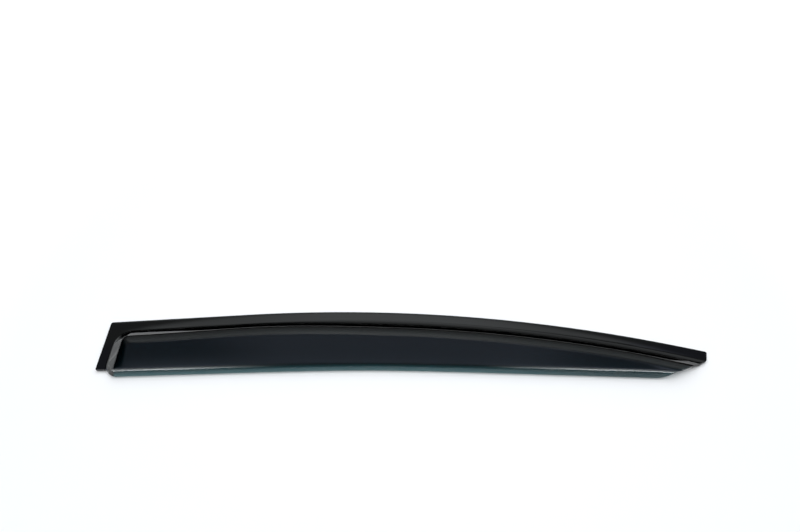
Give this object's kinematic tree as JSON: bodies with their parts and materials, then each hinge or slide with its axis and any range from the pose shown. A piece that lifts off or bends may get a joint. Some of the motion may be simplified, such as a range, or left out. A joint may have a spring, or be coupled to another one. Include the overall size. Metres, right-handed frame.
{
  "type": "window rain deflector",
  "caption": "Stick-on smoked acrylic rain deflector for a rear side window, with a tapered tail, raised face, turned-down lip and adhesive foam tape.",
  "frame": {"origin": "middle of the bounding box, on the adhesive plane that meets the door", "axes": "+X along the door towards the tail, +Y towards the roof edge, +Z away from the door"},
  "size_m": [0.7272, 0.092, 0.0129],
  "materials": {
    "smoked_acrylic": "moulded smoked acrylic sheet, high gloss, black band over the mounting flange",
    "foam_tape": "matt black acrylic foam, sticky on both faces"
  },
  "bodies": {
    "root": {"shield": "smoked_acrylic", "top_tape": "foam_tape", "end_tape": "foam_tape"}
  },
  "joints": []
}
